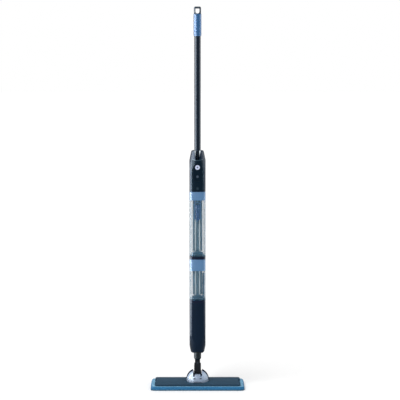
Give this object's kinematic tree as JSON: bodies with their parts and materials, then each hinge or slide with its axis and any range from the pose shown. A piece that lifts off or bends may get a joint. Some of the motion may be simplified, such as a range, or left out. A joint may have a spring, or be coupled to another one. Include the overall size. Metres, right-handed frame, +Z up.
{
  "type": "flat mop",
  "caption": "Upright cordless flat mop: wide padded head on a two-way swivel neck, slim body with clean and dirty water tanks that pull out, push-button panel, pole, grip and hanging loop.",
  "frame": {"origin": "on the floor, under the middle of the mop head", "axes": "+Z up along the pole, +X across the head to the right, -Y towards the front with the buttons"},
  "size_m": [0.322, 0.12, 1.3002],
  "materials": {
    "pad_fabric": "short looped microfibre",
    "strip_nylon": "woven hook tape",
    "slate_plastic": "satin moulded",
    "silver_plastic": "satin silver moulded",
    "dark_plastic": "satin moulded",
    "black_plastic": "fine matte moulded",
    "navy_plastic": "high gloss moulded",
    "ring_plastic": "high gloss moulded",
    "panel_plastic": "high gloss moulded",
    "grey_plastic": "fine matte moulded",
    "bush_plastic": "natural acetal",
    "steel": "bright zinc plated",
    "tube_aluminium": "satin anodised",
    "pole_lacquer": "gloss lacquer",
    "grip_plastic": "smooth moulded",
    "loop_plastic": "moulded",
    "tank_clear": "clear moulded with a blue tint",
    "lid_blue": "translucent moulded",
    "seal_rubber": "smooth",
    "filter_light": "translucent moulded",
    "filter_core": "moulded",
    "valve_plastic": "moulded",
    "hose_rubber": "clear silicone",
    "cell_wrap": "shrink sleeve",
    "pump_plastic": "moulded",
    "board_green": "solder resist",
    "button_light": "satin moulded",
    "button_grey": "satin moulded",
    "lens_clear": "frosted"
  },
  "bodies": {
    "head": {"mop_pad": "pad_fabric", "hook_strips": "strip_nylon", "head_plate": "slate_plastic", "plate_cover": "slate_plastic", "wetting_bar": "grey_plastic", "cradle": "silver_plastic", "dome_shell": "dark_plastic", "cradle_screws": "steel", "pitch_pin": "steel", "pitch_bushes": "bush_plastic"},
    "link": {"yoke": "black_plastic", "roll_pin": "steel"},
    "stick": {"neck": "dark_plastic", "neck_hoses": "hose_rubber", "lower_front": "navy_plastic", "lower_rear": "navy_plastic", "lower_screws": "steel", "battery_cells": "cell_wrap", "battery_holder": "grey_plastic", "clean_pump": "pump_plastic", "dirty_pump": "pump_plastic", "pump_cap": "grey_plastic", "pump_bracket": "grey_plastic", "supply_hoses": "hose_rubber", "control_board": "board_green", "charge_socket": "black_plastic", "base_ring": "ring_plastic", "spine_tube": "tube_aluminium", "middle_ring": "ring_plastic", "upper_front": "navy_plastic", "upper_rear": "navy_plastic", "upper_screws": "steel", "control_panel": "panel_plastic", "switch_board": "board_green", "status_lens": "lens_clear", "pole_socket": "grey_plastic", "pole": "pole_lacquer", "grip": "grip_plastic", "hang_loop": "loop_plastic"},
    "rotor": {"pump_rotor": "bush_plastic"},
    "clean_tank_unit": {"clean_tank": "tank_clear", "clean_lid": "lid_blue", "clean_seal": "seal_rubber", "fill_plug": "black_plastic", "filter_frame": "filter_light", "filter_cartridge": "filter_core", "clean_outlet": "valve_plastic"},
    "dirty_tank_unit": {"dirty_tank": "tank_clear", "dirty_lid": "lid_blue", "dirty_seal": "seal_rubber", "dirty_inlet": "valve_plastic"},
    "power_key": {"power_button": "button_light", "power_inlay": "button_grey"},
    "mode_key": {"mode_button": "button_grey"},
    "release_key": {"tank_release": "navy_plastic"}
  },
  "joints": [
    {"name": "neck_pitch", "type": "hinge", "parent": "head", "child": "link", "pos_m": [0, 0, 0.05], "axis": [-1, 0, 0], "range_deg": [-10, 84]},
    {"name": "neck_roll", "type": "hinge", "parent": "link", "child": "stick", "pos_m": [0, 0, 0.085], "axis": [0, 1, 0], "range_deg": [-70, 70]},
    {"name": "pump_turn", "type": "hinge", "parent": "stick", "child": "rotor", "pos_m": [0, -0.015, 0.1927], "axis": [0, 1, 0], "continuous": true},
    {"name": "clean_tank_slide", "type": "slide", "parent": "stick", "child": "clean_tank_unit", "axis": [0, -1, 0], "range_m": [0, 0.075]},
    {"name": "dirty_tank_slide", "type": "slide", "parent": "stick", "child": "dirty_tank_unit", "axis": [0, -1, 0], "range_m": [0, 0.075]},
    {"name": "power_press", "type": "slide", "parent": "stick", "child": "power_key", "axis": [0, 1, 0], "range_m": [0, 0.0012], "stiffness_N_per_m": 2000},
    {"name": "mode_press", "type": "slide", "parent": "stick", "child": "mode_key", "axis": [0, 1, 0], "range_m": [0, 0.0012], "stiffness_N_per_m": 2000},
    {"name": "release_press", "type": "slide", "parent": "stick", "child": "release_key", "axis": [1, 0, 0], "range_m": [0, 0.002], "stiffness_N_per_m": 1500}
  ]
}
